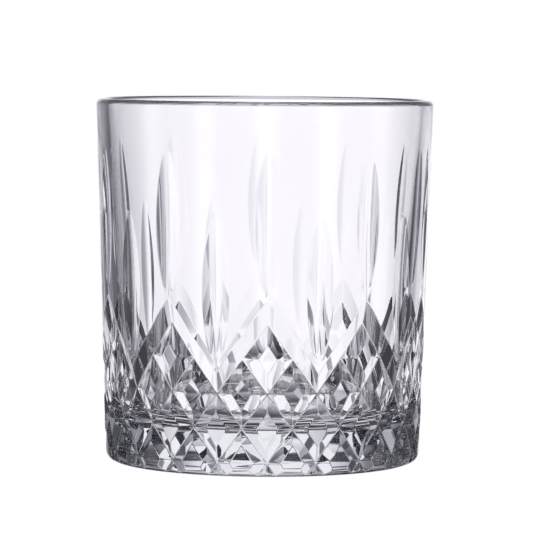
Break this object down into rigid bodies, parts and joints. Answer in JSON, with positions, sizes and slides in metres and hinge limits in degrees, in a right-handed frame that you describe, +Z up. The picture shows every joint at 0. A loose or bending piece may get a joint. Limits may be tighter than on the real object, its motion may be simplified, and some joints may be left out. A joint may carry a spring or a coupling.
{
  "type": "whiskey tumbler",
  "caption": "Short straight-sided drinking glass in clear cut glass, with tall lens-shaped cuts above a band of diamond facets and a thick base.",
  "frame": {"origin": "middle of the foot, on the surface the glass stands on", "axes": "+Z up along the axis of the glass; one repeat of the cut pattern faces -Y"},
  "size_m": [0.0818, 0.082, 0.088],
  "materials": {
    "clear_glass": "polished"
  },
  "bodies": {
    "root": {"tumbler": "clear_glass"}
  },
  "joints": []
}
